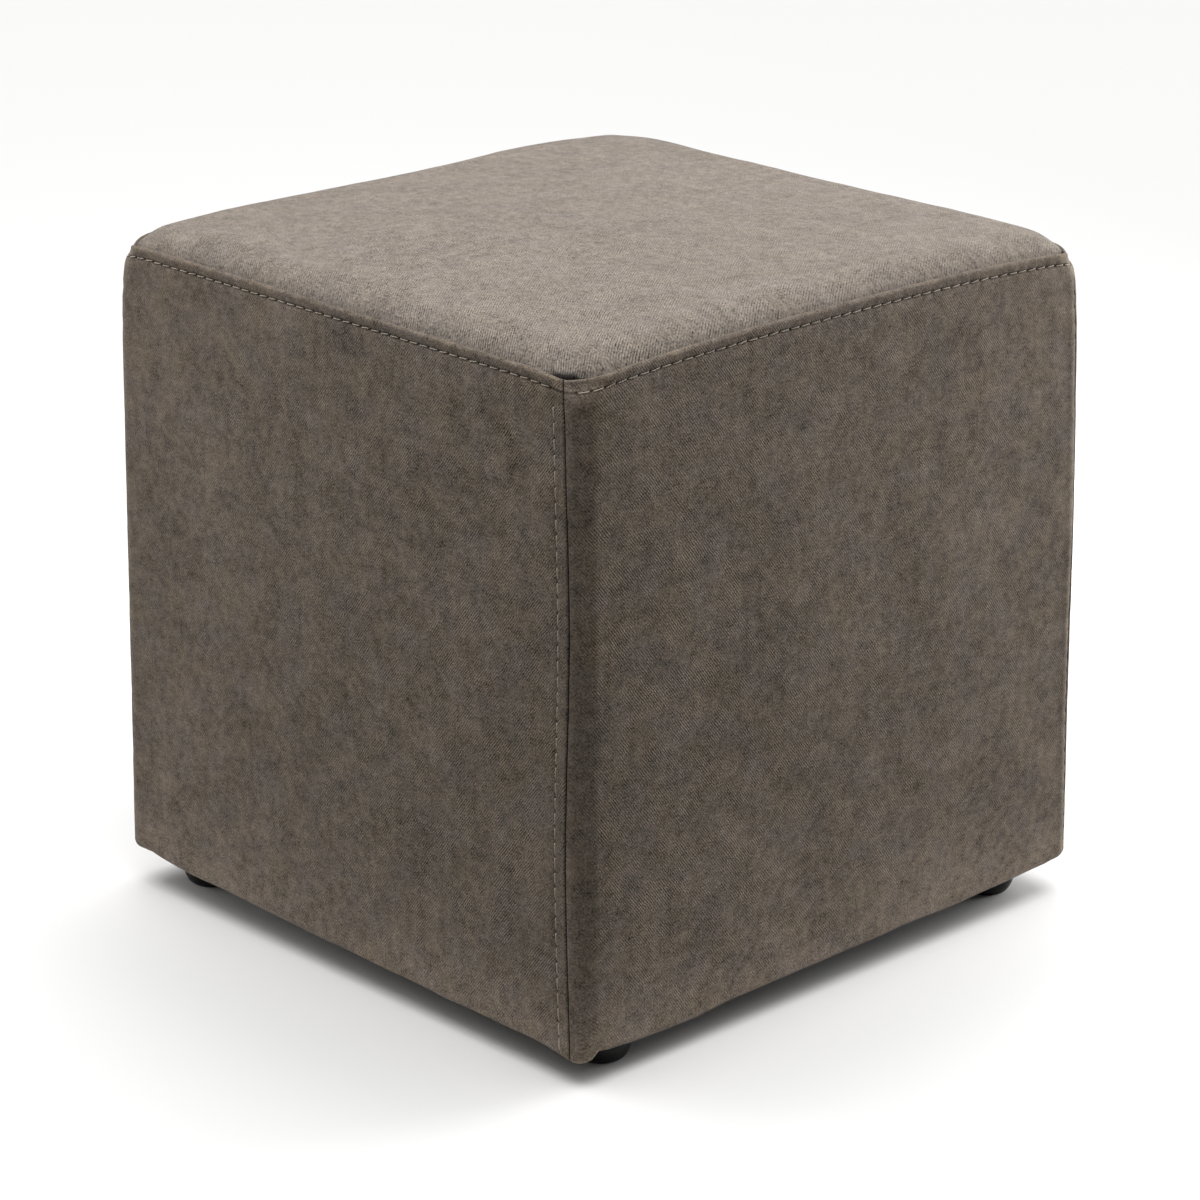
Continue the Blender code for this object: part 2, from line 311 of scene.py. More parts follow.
# The sides' colours are a little darker and browner than the top's.
# Two colours, then the contrasts of the twill, its grain and the mottling, from fine to broad.
sideFinish = {
    "greyer": (0.197, 0.162, 0.135),
    "browner": (0.205, 0.163, 0.122),
    "line": 0.60,
    "grain": 2.25,
    "mottle": 1.05,
    "blotch": 0.80,
    "broad": 0.50,
    "streak": 0.34,
    "fleck": 0.16,
    "wrinkle": 0.02,
    "wrinkleBump": 0.00003,
}
rightFinish = {**sideFinish, "line": 0.252}  # the twill shows less here
topFinish = {
    "greyer": (0.200, 0.172, 0.149),
    "browner": (0.205, 0.174, 0.144),
    "line": 0.70,
    "grain": 2.40,
    "mottle": 0.85,
    "blotch": 0.50,
    "broad": 0.26,
    "streak": 0.16,
    "fleck": 0.30,
    "wrinkle": 0.15,
    "wrinkleBump": 0.00012,
}


def makeCloth(name, finish):
    # the weave attribute holds each point's place on its own flat piece of cloth, in metres
    n = Nodes(name)
    weave = n.stored("weave", "Vector")
    paintedShade = n.stored("paintedShade")

    def noise(key, place=weave):
        return n.noise(place, *clothNoises[key])

    def uneven(key, place=weave):
        return n.uneven(place, *clothNoises[key])

    across = 2.0 * math.pi * cloth["linesPerMetre"] / math.hypot(1.0, cloth["lineSlope"])
    phase = n.vector("DOT_PRODUCT", weave, (across, across * cloth["lineSlope"], 0.0))
    phase = n.math("MULTIPLY_ADD", noise("wobble"), cloth["wobbleBend"], phase)
    phase = n.math("MULTIPLY_ADD", noise("jitter"), cloth["jitterBend"], phase)
    line = n.math("MULTIPLY_ADD", n.math("SINE", phase), 0.5, 0.5)
    towards = n.vector("DOT_PRODUCT", n.objectPlace(), cloth["cornerWay"])
    pressed = n.remap(towards, *cloth["cornerRange"], cloth["lineLeast"], 1.0)
    showing = n.math("MULTIPLY", n.remap(noise("patch"), *cloth["patchRange"]), pressed)
    broken = n.remap(noise("break"), *cloth["breakRange"])
    lineTone = n.math("MULTIPLY", n.math("SUBTRACT", line, 0.5), n.math("MULTIPLY", showing, broken))
    grainShare = n.remap(towards, *cloth["cornerRange"], cloth["grainLeast"], 1.0)
    grain = n.math("MULTIPLY", uneven("grain"), grainShare)
    tone = n.math("MULTIPLY_ADD", lineTone, finish["line"], 1.0)
    tone = n.math("MULTIPLY_ADD", grain, finish["grain"], tone)
    for key in ("mottle", "blotch", "broad"):
        tone = n.math("MULTIPLY_ADD", uneven(key), finish[key], tone)
    stretched = n.vector("MULTIPLY", weave, cloth["streakStretch"])
    tone = n.math("MULTIPLY_ADD", uneven("streak", stretched), finish["streak"], tone)
    flecks = noise("fleck", n.vector("MULTIPLY", weave, cloth["fleckStretch"]))
    tone = n.math("SUBTRACT", tone, n.remap(flecks, *cloth["fleckRange"], 0.0, finish["fleck"]))
    # fine wrinkles that come and go, bumped, with painted shade along them
    bent = uneven("bend", n.vector("MULTIPLY", weave, cloth["wrinkleStretch"]))
    ridge = n.remap(n.math("ABSOLUTE", bent), 0.0, cloth["wrinkleWidth"], 1.0, 0.0, smooth=True)
    wrinkle = n.math("MULTIPLY", ridge, n.remap(noise("wrinkle"), *cloth["wrinkleRange"]))
    tone = n.math("MULTIPLY_ADD", wrinkle, -finish["wrinkle"], tone)
    # painted shade: a stored point attribute darkens the colour in seams, holes, tucks and folds
    tone = n.math("MULTIPLY", tone, n.math("MULTIPLY_ADD", paintedShade, -cloth["paintedShadeDepth"], 1.0))
    hue = n.remap(noise("hue"), *cloth["hueRange"])
    colour = n.vector("SCALE", n.mixColour(hue, finish["greyer"], finish["browner"]), scale=tone)
    normal = n.bump(n.math("MULTIPLY", line, showing), cloth["lineBump"])
    normal = n.bump(grain, cloth["grainBump"], normal)
    normal = n.bump(n.math("MULTIPLY", wrinkle, -1.0), finish["wrinkleBump"], normal)
    return n.finish(
        Base_Color=colour,
        Normal=normal,
        Roughness=cloth["roughness"],
        Specular_IOR_Level=cloth["gloss"],
        Sheen_Weight=cloth["sheen"],
        Sheen_Roughness=cloth["sheenRoughness"],
        Sheen_Tint=cloth["sheenTint"],
    )


frontCloth = makeCloth("frontCloth", sideFinish)
rightCloth = makeCloth("rightCloth", rightFinish)
topCloth = makeCloth("topCloth", topFinish)
print("pouf: cloth")

# The pouf's shape.
pouf = {
    "halfWidth": 0.1993,
    "halfDepth": 0.2000,
    "flare": 0.0038,  # the foot is this much wider on each side
    "hemHeight": 0.0198,
    "seamHeight": 0.4020,
    "gap": 0.0003,
    "crestSetIn": 0.0015,
    "crestCorner": 0.0217,
    "archPower": 3,
    "archReach": 0.964,
    "dipWidth": 0.0290,
}
# Each wall runs from left to right as seen from outside. lift, dip, hemLift and seamShift are for the
# corner at its right. grain says which way the twill leans.
walls = [
    {"name": "front", "along": (1, 0), "outward": (0, -1), "cloth": frontCloth, "grain": -1.0,
     "arch": 0.0003, "lift": 0.0008, "dip": 0.0022, "hemLift": -0.0033, "seamShift": -0.0087},
    {"name": "right", "along": (0, 1), "outward": (1, 0), "cloth": rightCloth, "grain": 1.0,
     "arch": 0.0059, "lift": -0.0008, "dip": 0.0026, "hemLift": 0.0005, "seamShift": 0.0040},
    {"name": "back", "along": (-1, 0), "outward": (0, 1), "cloth": frontCloth, "grain": -1.0,
     "arch": 0.0022, "lift": -0.0038, "dip": 0.0024, "hemLift": 0.0, "seamShift": -0.0030},
    {"name": "left", "along": (0, -1), "outward": (-1, 0), "cloth": rightCloth, "grain": 1.0,
     "arch": 0.0003, "lift": 0.0017, "dip": 0.0050, "hemLift": 0.0005, "seamShift": -0.0035},
]
for wall in walls:
    wall["along"] = np.array([*wall["along"], 0.0])
    wall["outward"] = np.array([*wall["outward"], 0.0])
    lengthwise = abs(wall["along"][0]) > 0.5
    wall["halfLength"] = pouf["halfWidth"] if lengthwise else pouf["halfDepth"]
    wall["halfDepth"] = pouf["halfDepth"] if lengthwise else pouf["halfWidth"]


def bell(distance, width):
    return np.exp(-((distance / width) ** 2))


def ramp(value, width):
    # from 0 at nought to 1 at the width
    return np.clip(value / width, 0.0, 1.0)


def ripples(u, v, seed, shortest, longest, stretch=1.0):
    # soft unevenness from 12 seeded waves, about -1 to 1
    dice = np.random.default_rng(seed)
    total = np.zeros(np.broadcast(u, v).shape)
    count = 12
    for _ in range(count):
        length = shortest * (longest / shortest) ** dice.random()
        angle = dice.random() * 2.0 * math.pi
        start = dice.random() * 2.0 * math.pi
        travelled = u * math.cos(angle) + v * math.sin(angle) / stretch
        total += np.sin(2.0 * math.pi * travelled / length + start)
    return total / math.sqrt(count * 2.0)


def ringPoint(wall, distance, setIn, corner):
    # where a distance along the wall comes on a ring around the pouf, and which way is outward there
    straight = wall["halfLength"] - setIn - corner
    turn = np.maximum(0.0, np.abs(distance) - straight) / corner
    run = np.sign(distance) * (np.minimum(np.abs(distance), straight) + corner * np.sin(turn))
    out = wall["halfDepth"] - setIn - corner * (1.0 - np.cos(turn))
    lean = np.sign(distance) * np.sin(turn)
    place = run[..., None] * wall["along"] + out[..., None] * wall["outward"]
    normal = lean[..., None] * wall["along"] + np.cos(turn)[..., None] * wall["outward"]
    return place, normal


def ringReach(wall, setIn, corner):
    # the distance from a wall's middle to the middle of its rounded corner
    return wall["halfLength"] - setIn - corner * (1.0 - math.pi / 4.0)


def cornerBlend(x, y, key):
    # a value given for each corner, spread over the pouf
    front, right, back, left = (wall[key] for wall in walls)
    across = (1.0 + x / pouf["halfWidth"]) / 2.0
    deep = (1.0 + y / pouf["halfDepth"]) / 2.0
    near = left * (1.0 - across) + front * across
    far = back * (1.0 - across) + right * across
    return near * (1.0 - deep) + far * deep


for wall in walls:
    crestReach = ringReach(wall, pouf["crestSetIn"], pouf["crestCorner"])
    distance = np.array(crestReach + wall["seamShift"])
    wall["seamPlace"] = ringPoint(wall, distance, pouf["crestSetIn"], pouf["crestCorner"])[0]


def foldRise(x, y):
    # the fold around the top arches up along its sides and is drawn down at the corner seams
    rise = np.zeros_like(x)
    for wall in walls:
        along = np.abs(x * wall["along"][0] + y * wall["along"][1]) / wall["halfLength"]
        nearness = (1.0 + (x * wall["outward"][0] + y * wall["outward"][1]) / wall["halfDepth"]) / 2.0
        arch = 1.0 - np.minimum(1.0, along / pouf["archReach"]) ** pouf["archPower"]
        rise += wall["arch"] * arch * nearness ** pouf["archPower"]
        away = np.hypot(x - wall["seamPlace"][0], y - wall["seamPlace"][1])
        rise -= wall["dip"] * np.maximum(0.0, 1.0 - away / pouf["dipWidth"]) ** 2
    return rise


def heightShare(level):
    return (level - pouf["hemHeight"]) / (pouf["seamHeight"] - pouf["hemHeight"])


def flaredSetIn(level, setIn):
    return setIn - pouf["flare"] * (1.0 - heightShare(level))


def addPiece(name, verts, faces, material, attributes=()):
    mesh = bpy.data.meshes.new(name)
    mesh.from_pydata(verts.tolist(), [], faces)
    mesh.validate()
    for key, values in attributes:
        isVector = values.ndim == 2
        layer = mesh.attributes.new(key, "FLOAT_VECTOR" if isVector else "FLOAT", "POINT")
        layer.data.foreach_set("vector" if isVector else "value", values.astype(np.float32).ravel())
    shape = bmesh.new()
    shape.from_mesh(mesh)
    bmesh.ops.recalc_face_normals(shape, faces=shape.faces)
    shape.to_mesh(mesh)
    shape.free()
    mesh.shade_smooth()
    mesh.materials.append(material)
    piece = bpy.data.objects.new(name, mesh)
    bpy.context.scene.collection.objects.link(piece)
    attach(piece, "root")
    return piece


# The side panels.
sidePanel = {
    "thickness": 16.0 * mm,
    "partingDrop": 13.0 * mm,
    "hemInside": 0.6 * mm,
    "bodyRows": 64,
    "weaveStep": 1.7,  # each panel's weave starts at a place of its own, in metres
    "fullness": 2.0 * mm,
    "seamWander": 1.5 * mm,
    "wanderLength": 270.0 * mm,
    "wanderStart": 197.5 * mm,
    "hangShare": 0.22,  # the hem's hang fades out over this share of the height
    "waviness": 0.45 * mm,
    "waveLengths": (60.0 * mm, 170.0 * mm, 1.6),  # shortest, longest and upward stretch
    "fineWaviness": 0.14 * mm,
    "fineWaveLengths": (16.0 * mm, 40.0 * mm, 1.5),
    "hemWaviness": 0.35 * mm,
    "hemWaveLengths": (30.0 * mm, 120.0 * mm),
    "foldWaviness": 0.16 * mm,
    "foldWaveLengths": (22.0 * mm, 70.0 * mm),
    "foldWaveDrop": 3.0 * mm,
    "foldWaveHeight": 3.0 * mm,
    "foldWaveFade": 4.0 * mm,
    "calmWidth": 25.0 * mm,  # the cloth is calmer this near to a seam or the hem
    "calmTop": 9.0 * mm,
    "calmTopFade": 30.0 * mm,
    "cornerRadius": 20.0 * mm,  # what the lean, the press and the shade at the corners go by
    "flatCorner": 13.0 * mm,
    "cornerPress": 0.85,  # the fold is pressed flat at the corners
    "pressTop": 0.8 * mm,
    "pressBottom": 10.0 * mm,
    "pressDepth": 0.1 * mm,
    "rowsPastCrest": 8,
    "cornerSwell": 1.1 * mm,  # the right-hand corner is a little fuller at half height
    "cornerSwellLevel": 250.0 * mm,
    "cornerSwellHeight": 105.0 * mm,
    "cornerSwellWidth": 45.0 * mm,
    "fill": 0.8,
}
# The needle holes draw the cloth in, and the fold puffs up a little between them.
foldStitching = {
    "pitch": 8.05 * mm,
    "firstHole": 7.0 * mm,
    "lastHole": 9.0 * mm,
    "holeDepth": 0.55 * mm,
    "holeWidth": 0.75 * mm,
    "holeHeight": 0.7 * mm,
    "underDepth": 0.16 * mm,  # the cloth just under the holes
    "underWidth": 2.4 * mm,
    "underDrop": 9.0 * mm,
    "underHeight": 2.5 * mm,
    "overDepth": 0.20 * mm,  # and in the fold above them
    "overWidth": 2.2 * mm,
    "overDrop": 4.6 * mm,
    "overHeight": 1.4 * mm,
}
# The vertical seam at each panel's right, with its stitched strip and the puckers on both sides.
seamStrip = {
    "pitch": 8.7 * mm,
    "topDrop": 15.0 * mm,
    "bottomRise": 3.0 * mm,
    "edgeRound": 0.7 * mm,
    "edgeDepth": 0.8 * mm,
    "width": 7.8 * mm,
    "top": 12.0 * mm,
    "topFade": 6.0 * mm,
    "bottom": 1.0 * mm,
    "bottomFade": 4.0 * mm,
    "rise": 0.45 * mm,
    "riseFade": 0.9 * mm,
    "grooveDepth": 0.75 * mm,
    "grooveWidth": 0.55 * mm,
    "puff": 0.25 * mm,
    "puffWidth": 3.0 * mm,
    "puffFromEnd": 11.5 * mm,
    "puffFromStart": 4.5 * mm,
    "puckerCount": 60,
    "puckerLeast": 9.0,  # distance from one pucker to the next, in mm
    "puckerSpread": 7.0,
    "puckerDepth": 0.45 * mm,
    "puckerRarity": 1.5,  # higher makes fewer of them deep
    "puckerHeight": 4.6 * mm,
    "puckerWidth": 9.0 * mm,
    "puckerAway": 6.0 * mm,
    "puckerFromStart": 8.0 * mm,
    "puckerStartShare": 0.8,
    "topPuckers": 1.6,  # how much deeper they are near the top
    "topPuckerDrop": 34.0 * mm,
    "topPuckerHeight": 24.0 * mm,
}
# How dark the painted shade is in the cloth's seams, needle holes, stitch groove and tuck, on and past
# the fold's crest and where it turns a corner, and how wide each shade is.
panelShade = {
    "seamWidth": 0.24 * mm,
    "holeHeight": 0.8 * mm,
    "groove": 0.55,
    "grooveHeight": 0.75 * mm,
    "crest": 0.34,
    "crestStart": 1.3 * mm,
    "crestFade": 1.0 * mm,
    "pastCrest": 0.72,
    "pastStart": 1.9 * mm,
    "pastFade": 0.6 * mm,
    "pastReach": 6.0 * mm,
    "tuckRows": 3,
    "turn": 0.10,  # painted shade, a little darker where the cloth turns around a corner
    "turnWidth": 24.0 * mm,
    "turnTop": 8.0 * mm,
}
seeds = {
    "top": 11, "topFine": 12, "waves": 20, "fineWaves": 30, "hem": 40, "fold": 50,
    "foldStitches": 70, "seamStitches": 80, "puckers": 300, "puckerDepths": 310,
}
# Profile of the lower edge and of the fold: height, depth inside the face and corner radius, in mm.
hemProfile = [
    (0.5, 10.0, 8.0), (0.0, 6.0, 9.5), (0.0, 4.2, 10.8), (0.15, 2.9, 11.5), (0.55, 1.8, 12.0),
    (1.2, 0.95, 12.3), (2.1, 0.4, 12.5), (3.2, 0.1, 12.5), (4.5, 0.0, 12.5),
]
foldProfile = [
    (-26.0, 0.0, 12.8), (-21.0, 0.0, 13.5), (-17.5, 0.0, 14.3), (-15.0, 0.0, 14.8), (-13.0, 0.0, 15.3),
    (-11.3, 0.0, 15.9), (-10.0, 0.02, 16.4), (-9.0, 0.08, 16.9), (-8.2, 0.2, 17.3), (-7.6, 0.36, 17.6),
    (-7.1, 0.52, 17.9), (-6.6, 0.62, 18.2), (-6.15, 0.48, 18.8), (-5.8, 0.18, 19.6),
    (-5.45, -0.08, 20.4), (-5.0, -0.24, 21.4), (-4.3, -0.36, 22.5), (-3.4, -0.4, 23.4),
    (-2.5, -0.42, 23.9), (-1.8, -0.4, 24.2), (-1.2, -0.3, 24.3), (-0.75, -0.08, 24.1),
    (-0.4, 0.26, 23.6), (-0.16, 0.66, 23.0), (-0.03, 1.06, 22.4), (0.0, 1.45, 21.7), (-0.1, 1.85, 21.0),
    (-0.35, 2.3, 20.3), (-0.8, 2.75, 19.6), (-1.4, 3.1, 19.1), (-2.4, 3.4, 18.7), (-4.0, 3.7, 18.4),
]
stitchRow = (-6.6, 0.62, 18.2)
# Corner radius beside the seam's stitches, by height from the seam's top, both in mm.
stripCorners = [(-400.0, 12.5), (-26.0, 12.8), (-15.0, 14.8), (-6.6, 16.5)]
# How the hem hangs around the corner at each wall's right: distance from the corner's middle and
# height, in mm.
cornerHems = {
    "front": [(-90.0, 0.0), (-70.0, 0.1), (-42.0, 0.6), (-28.0, 0.1), (-20.0, -0.7), (-14.0, -1.2),
              (-7.0, -2.3), (-3.0, -3.0), (0.0, -2.8), (2.3, -2.1), (5.5, -1.0), (7.5, 1.0),
              (9.7, 3.0), (13.0, 2.5), (17.5, 1.6), (24.0, 1.2), (32.0, 0.5), (41.0, -0.2),
              (50.0, -0.8), (65.0, -1.3), (88.0, -1.3), (105.0, -0.3), (115.0, 0.0)],
    "right": [(-170.0, 0.0), (-146.0, 0.8), (-120.0, 0.0), (-98.0, -0.5), (-75.0, 0.0), (-50.0, 0.4),
              (-30.0, 1.2), (-19.0, 1.4), (-14.0, 2.0), (-6.0, 2.2), (6.0, 1.8), (18.0, 0.8),
              (40.0, 0.0)],
    "back": [(-40.0, 0.0), (-12.0, 1.2), (4.0, 0.9), (18.0, -0.4), (40.0, 0.0)],
    "left": [(-40.0, 0.0), (-14.0, 0.6), (0.0, 2.0), (10.0, 3.0), (20.0, 3.3), (28.0, 2.2),
             (42.0, 1.2), (60.0, 0.4), (92.0, 0.7), (120.0, 0.3), (140.0, 0.0)],
}
# How far each wall's right-hand corner leans in: distance below the seam and the lean, in mm.
cornerLeans = {
    "front": [(0.0, 0.4), (8.0, 0.0)],
    "right": [(0.0, 1.5), (4.0, 1.2), (8.0, 0.5), (14.0, 0.5), (22.0, 0.7), (30.0, 0.6), (45.0, 0.0)],
    "back": [(0.0, 1.5), (8.0, 0.6), (30.0, 0.0)],
    "left": [(0.0, 2.0), (4.0, 1.3), (8.0, 0.7), (14.0, 0.8), (22.0, 0.6), (36.0, 0.0)],
}


def readTable(table, at):
    values = np.array(table) * mm
    return np.interp(at, values[:, 0], values[:, 1])


def panelRows():
    # level above the floor, share of the seam's lift, depth inside the face and corner radius
    hem, seam = pouf["hemHeight"], pouf["seamHeight"]
    first = hem + hemProfile[-1][0] * mm
    last = seam + foldProfile[0][0] * mm
    lowCorner, highCorner = hemProfile[-1][2], foldProfile[0][2]
    rows = [(hem + h * mm, 0.0, depth * mm, corner * mm) for h, depth, corner in hemProfile]
    for step in range(1, sidePanel["bodyRows"]):
        level = first + (last - first) * step / sidePanel["bodyRows"]
        share = (level - first) / (last - first)
        rows.append((level, share, 0.0, (lowCorner + (highCorner - lowCorner) * share) * mm))
    rows += [(seam + h * mm, 1.0, depth * mm, corner * mm) for h, depth, corner in foldProfile]
    return np.array(rows)


def seamShift(wall, level):
    # the vertical seams wander a little to both sides
    stray = np.sin(2.0 * math.pi * (level - sidePanel["wanderStart"]) / sidePanel["wanderLength"])
    return wall["seamShift"] + sidePanel["seamWander"] * stray


def panelEnds(index, level, setIn, corner):
    reach = ringReach(walls[index], flaredSetIn(level, setIn), corner)
    start = seamShift(walls[index - 1], level) + pouf["gap"] / 2.0 - reach
    end = seamShift(walls[index], level) - pouf["gap"] / 2.0 + reach
    return start, end


def stitchHoles(length):
    room = length - foldStitching["firstHole"] - foldStitching["lastHole"]
    count = round(room / foldStitching["pitch"])
    return foldStitching["firstHole"] + np.arange(count + 1) * room / count


def panelColumns(length):
    # distances from the left seam along the fold: close together at the seams and the needle holes
    ends = np.array([0, 0.12, 0.3, 0.55, 0.85, 1.2, 1.7, 2.4, 3.2, 4.2, 5.2, 6.2, 7.0, 7.45, 7.8, 8.15,
                     8.6, 9.4, 10.5, 12.0, 14.0]) * mm
    near = np.array([-2.3, -1.1, -0.5, 0.0, 0.5, 1.1, 2.3, 4.0]) * mm
    least, seamZone = 0.24 * mm, 1.0 * mm
    holes = stitchHoles(length)
    wanted = np.concatenate([ends, length - ends, (holes[:, None] + near[None, :]).ravel()])
    wanted = np.unique(wanted[(wanted >= 0.0) & (wanted <= length)])
    kept = [wanted[0]]
    for value in wanted[1:]:
        crowded = value - kept[-1] < least
        if not crowded or value < seamZone or value > length - seamZone:
            kept.append(value)
        elif np.abs(holes - value).min() < 1e-7:
            kept[-1] = value
    return np.array(kept)


def spreadColumns(columns, length, newLength):
    # the columns beside the end seams keep their distance, and the others share out the difference
    left, right = 12.0 * mm, 14.0 * mm
    middle = left + (columns - left) * (newLength - left - right) / (length - left - right)
    spread = np.where(columns < left, columns, middle)
    return np.where(columns > length - right, newLength - (length - columns), spread)


def hemWave(index, distance, reach):
    # how the lower edge hangs, by the distance along one wall
    wave = readTable(cornerHems[walls[index]["name"]], distance - reach)
    wave = wave + readTable(cornerHems[walls[index - 1]["name"]], distance + reach)
    calm = 1.0 - bell(reach - np.abs(distance), sidePanel["calmWidth"])
    flat = np.zeros_like(distance)
    uneven = ripples(distance, flat, seeds["hem"] + index, *sidePanel["hemWaveLengths"])
    return wave + sidePanel["hemWaviness"] * uneven * calm


def cornerLean(index, distance, drop):
    # how far a panel leans in near the corners at its ends
    reach = ringReach(walls[index], 0.0, sidePanel["cornerRadius"])
    lean = np.zeros_like(distance)
    for wall, away in ((walls[index], reach - distance), (walls[index - 1], reach + distance)):
        lean = lean + readTable(cornerLeans[wall["name"]], drop) * bell(away, sidePanel["flatCorner"])
    return lean


def panelSurface(index, distance, level, share, setIn, corner, lift):
    # the panel's outer surface; every value may be an array. lift stands off it
    wall = walls[index]
    flared = flaredSetIn(level, setIn)
    reach = ringReach(wall, flared, corner)
    place, normal = ringPoint(wall, distance, flared, corner)
    swell = sidePanel["fullness"] * np.sin(math.pi * heightShare(level))
    swell = swell * np.maximum(0.0, 1.0 - (distance / reach) ** 2)
    place = place + normal * (swell + lift)[..., None]
    x, y = place[..., 0], place[..., 1]
    place[..., 2] = level + share * (cornerBlend(x, y, "lift") + foldRise(x, y))
    hang = np.maximum(0.0, 1.0 - share / sidePanel["hangShare"]) ** 2
    place[..., 2] += (1.0 - share) * cornerBlend(x, y, "hemLift") + hang * hemWave(index, distance, reach)
    return place, normal


def seamRelief(index, level, drop, fromStart, fromEnd):
    # rounded seam edges, the stitched strip and the puckers beside it
    s = seamStrip
    seamEdge = np.maximum(0.0, 1.0 - fromStart / s["edgeRound"]) ** 2
    seamEdge += np.maximum(0.0, 1.0 - fromEnd / s["edgeRound"]) ** 2
    relief = -s["edgeDepth"] * seamEdge
    below = ramp(drop - s["top"], s["topFade"])
    below *= ramp(level - pouf["hemHeight"] - s["bottom"], s["bottomFade"])
    strip = ramp(fromEnd, s["riseFade"]) * ramp(s["width"] - fromEnd, s["riseFade"])
    relief += s["rise"] * strip * below
    relief -= s["grooveDepth"] * bell(fromEnd - s["width"], s["grooveWidth"]) * below
    relief += s["puff"] * bell(fromEnd - s["puffFromEnd"], s["puffWidth"]) * below
    relief += s["puff"] * bell(fromStart - s["puffFromStart"], s["puffWidth"]) * below
    steps = np.random.default_rng(seeds["puckers"] + index).random(s["puckerCount"])
    knots = np.cumsum(s["puckerLeast"] + s["puckerSpread"] * steps) * mm
    depths = np.random.default_rng(seeds["puckerDepths"] + index).random(s["puckerCount"])
    depths = depths ** s["puckerRarity"]
    deeper = 1.0 + s["topPuckers"] * bell(drop - s["topPuckerDrop"], s["topPuckerHeight"])
    besideEnd = bell(fromEnd - s["width"] - s["puckerAway"], s["puckerWidth"])
    besideStart = s["puckerStartShare"] * bell(fromStart - s["puckerFromStart"], s["puckerWidth"])
    for at, depth in zip(knots, depths):
        size = s["puckerDepth"] * depth * deeper * bell(drop - at, s["puckerHeight"]) * below
        relief -= size * (besideEnd + besideStart)
    return relief


def clothRelief(index, level, drop, fromStart, fromEnd):
    # soft unevenness, calmer at the edges, and the swell at the right-hand corner
    s = sidePanel
    inside = ramp(np.minimum(fromStart, fromEnd), s["calmWidth"])
    inside = inside * ramp(drop - s["calmTop"], s["calmTopFade"])
    inside = inside * ramp(level - pouf["hemHeight"], s["calmWidth"])
    waves = ripples(fromStart, level, seeds["waves"] + index, *s["waveLengths"])
    fineWaves = ripples(fromStart, level, seeds["fineWaves"] + index, *s["fineWaveLengths"])
    relief = inside * (s["waviness"] * waves + s["fineWaviness"] * fineWaves)
    full = s["cornerSwell"] * bell(level - s["cornerSwellLevel"], s["cornerSwellHeight"])
    if walls[index]["name"] == "right":
        relief += full * bell(fromEnd, s["cornerSwellWidth"])
    if walls[index]["name"] == "back":
        relief += full * bell(fromStart, s["cornerSwellWidth"])
    return relief


def foldRelief(index, distance, drop, fromStart, fromEnd, nearest, setIn):
    # what the topstitching does to the fold, and how the fold lies at the corners
    s, f = sidePanel, foldStitching
    reach = ringReach(walls[index], 0.0, s["cornerRadius"])
    holeAway = drop + stitchRow[0] * mm
    relief = -f["holeDepth"] * bell(nearest, f["holeWidth"]) * bell(holeAway, f["holeHeight"])
    for part in ("under", "over"):
        across, down = bell(nearest, f[part + "Width"]), bell(drop - f[part + "Drop"], f[part + "Height"])
        relief -= f[part + "Depth"] * across * down
    atCorner = bell(reach - np.abs(distance), s["flatCorner"])
    inFold = ramp(drop - s["pressTop"], s["pressTop"]) * (drop < s["pressBottom"])
    inFold[-s["rowsPastCrest"]:] = 0.0
    relief += s["cornerPress"] * atCorner * inFold * (setIn - s["pressDepth"])
    relief -= cornerLean(index, distance, drop)
    wobble = ripples(fromStart, np.zeros_like(fromStart), seeds["fold"] + index, *s["foldWaveLengths"])
    wobble = wobble * bell(drop - s["foldWaveDrop"], s["foldWaveHeight"])
    wobble = wobble * ramp(fromStart * fromEnd, s["foldWaveFade"] ** 2)
    return relief + s["foldWaviness"] * wobble


def paintedPanelShade(index, rows, distance, drop, fromStart, fromEnd, nearest):
    # painted shade in the seams, the needle holes, the stitch groove, on and past the fold's crest and in
    # the tuck, and a little where the cloth turns around a corner
    s = panelShade
    holeAway = drop + stitchRow[0] * mm
    paintedShade = bell(fromStart, s["seamWidth"]) + bell(fromEnd, s["seamWidth"])
    holes = bell(nearest, foldStitching["holeWidth"]) * bell(holeAway, s["holeHeight"])
    paintedShade = np.maximum(paintedShade, holes)
    paintedShade = np.maximum(paintedShade, s["groove"] * bell(holeAway, s["grooveHeight"]))
    height, depth = rows[:, 0] - pouf["seamHeight"], rows[:, 2]
    onCrest = s["crest"] * ramp(height + s["crestStart"], s["crestFade"])
    pastCrest = s["pastCrest"] * ramp(depth - s["pastStart"], s["pastFade"]) * (height > -s["pastReach"])
    paintedShade = np.maximum(paintedShade, np.maximum(onCrest, pastCrest)[:, None])
    paintedShade[-s["tuckRows"]:] = 1.0
    bend = ringReach(walls[index], 0.0, sidePanel["cornerRadius"])
    turned = bell(bend - distance, s["turnWidth"]) + bell(bend + distance, s["turnWidth"])
    return paintedShade + (1.0 - paintedShade) * s["turn"] * turned * (drop > s["turnTop"])


def gridFaces(rowCount, columnCount):
    faces = []
    for row in range(rowCount - 1):
        for column in range(columnCount - 1):
            base = row * columnCount + column
            faces.append((base, base + 1, base + columnCount + 1, base + columnCount))
    return faces


def gridRim(rowCount, columnCount):
    # the rows and columns around the grid's edge, in order
    rim = [(0, c) for c in range(columnCount)]
    rim += [(r, columnCount - 1) for r in range(1, rowCount)]
    rim += [(rowCount - 1, c) for c in range(columnCount - 2, -1, -1)]
    return rim + [(r, 0) for r in range(rowCount - 2, 0, -1)]


